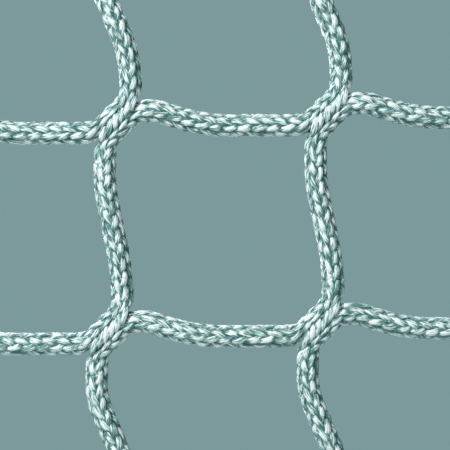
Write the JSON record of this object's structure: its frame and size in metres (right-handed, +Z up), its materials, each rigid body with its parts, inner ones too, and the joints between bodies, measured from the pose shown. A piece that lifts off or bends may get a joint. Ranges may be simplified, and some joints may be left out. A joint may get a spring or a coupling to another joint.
{
  "type": "cargo climbing net",
  "caption": "Square-mesh climbing net panel of knotless plaited cord in a roped border, with thimbled eyes to hang it by.",
  "frame": {"origin": "middle of the bore of the thimble at the middle of the top edge", "axes": "+Z up, X along the top rope with +X to the right seen from the front, +Y through the net away from the front"},
  "size_m": [0.765, 0.039, 0.9209],
  "materials": {
    "net_cord": "satin plaited polypropylene multifilament, off-white",
    "border_rope": "satin plaited polypropylene multifilament, off-white",
    "twine": "waxed twine, tightly wound",
    "thimble": "zinc-plated steel, turned",
    "sleeve": "pressed aluminium, satin"
  },
  "bodies": {
    "top_edge": {"top_rope_left": "border_rope", "top_rope_middle": "border_rope", "top_rope_right": "border_rope", "cord_end_top_1": "net_cord", "cord_end_top_2": "net_cord", "cord_end_top_3": "net_cord", "cord_end_top_4": "net_cord", "whippings_top": "twine", "seizings_top": "twine", "thimbles_top": "thimble"},
    "row_1": {"net_cord_1_1": "net_cord", "net_cord_1_2": "net_cord", "net_cord_1_3": "net_cord", "net_cord_1_4": "net_cord", "net_cord_1_5": "net_cord", "side_rope_left_1": "border_rope", "side_rope_right_1": "border_rope", "whippings_row_1": "twine"},
    "row_2": {"net_cord_2_1": "net_cord", "net_cord_2_2": "net_cord", "net_cord_2_3": "net_cord", "net_cord_2_4": "net_cord", "net_cord_2_5": "net_cord", "side_rope_left_2": "border_rope", "side_rope_right_2": "border_rope", "whippings_row_2": "twine"},
    "row_3": {"net_cord_3_1": "net_cord", "net_cord_3_2": "net_cord", "net_cord_3_3": "net_cord", "net_cord_3_4": "net_cord", "net_cord_3_5": "net_cord", "side_rope_left_3": "border_rope", "side_rope_right_3": "border_rope", "whippings_row_3": "twine"},
    "row_4": {"net_cord_4_1": "net_cord", "net_cord_4_2": "net_cord", "net_cord_4_3": "net_cord", "net_cord_4_4": "net_cord", "net_cord_4_5": "net_cord", "side_rope_left_4": "border_rope", "side_rope_right_4": "border_rope", "whippings_row_4": "twine"},
    "row_5": {"net_cord_5_1": "net_cord", "net_cord_5_2": "net_cord", "net_cord_5_3": "net_cord", "net_cord_5_4": "net_cord", "net_cord_5_5": "net_cord", "side_rope_left_5": "border_rope", "side_rope_right_5": "border_rope", "whippings_row_5": "twine"},
    "bottom_edge": {"bottom_rope_right": "border_rope", "bottom_rope_left": "border_rope", "cord_end_bottom_1": "net_cord", "cord_end_bottom_2": "net_cord", "cord_end_bottom_3": "net_cord", "cord_end_bottom_4": "net_cord", "whippings_bottom": "twine", "seizings_bottom": "twine", "rope_end_sleeve": "sleeve", "thimbles_bottom": "thimble"}
  },
  "joints": [
    {"name": "bend_1", "type": "hinge", "parent": "top_edge", "child": "row_1", "pos_m": [0, 0, -0.1345], "axis": [1, 0, 0], "range_deg": [-45, 45]},
    {"name": "bend_2", "type": "hinge", "parent": "row_1", "child": "row_2", "pos_m": [0, 0, -0.2595], "axis": [1, 0, 0], "range_deg": [-45, 45]},
    {"name": "bend_3", "type": "hinge", "parent": "row_2", "child": "row_3", "pos_m": [0, 0, -0.3845], "axis": [1, 0, 0], "range_deg": [-45, 45]},
    {"name": "bend_4", "type": "hinge", "parent": "row_3", "child": "row_4", "pos_m": [0, 0, -0.5095], "axis": [1, 0, 0], "range_deg": [-45, 45]},
    {"name": "bend_5", "type": "hinge", "parent": "row_4", "child": "row_5", "pos_m": [0, 0, -0.6345], "axis": [1, 0, 0], "range_deg": [-45, 45]},
    {"name": "bend_6", "type": "hinge", "parent": "row_5", "child": "bottom_edge", "pos_m": [0, 0, -0.7595], "axis": [1, 0, 0], "range_deg": [-45, 45]}
  ]
}
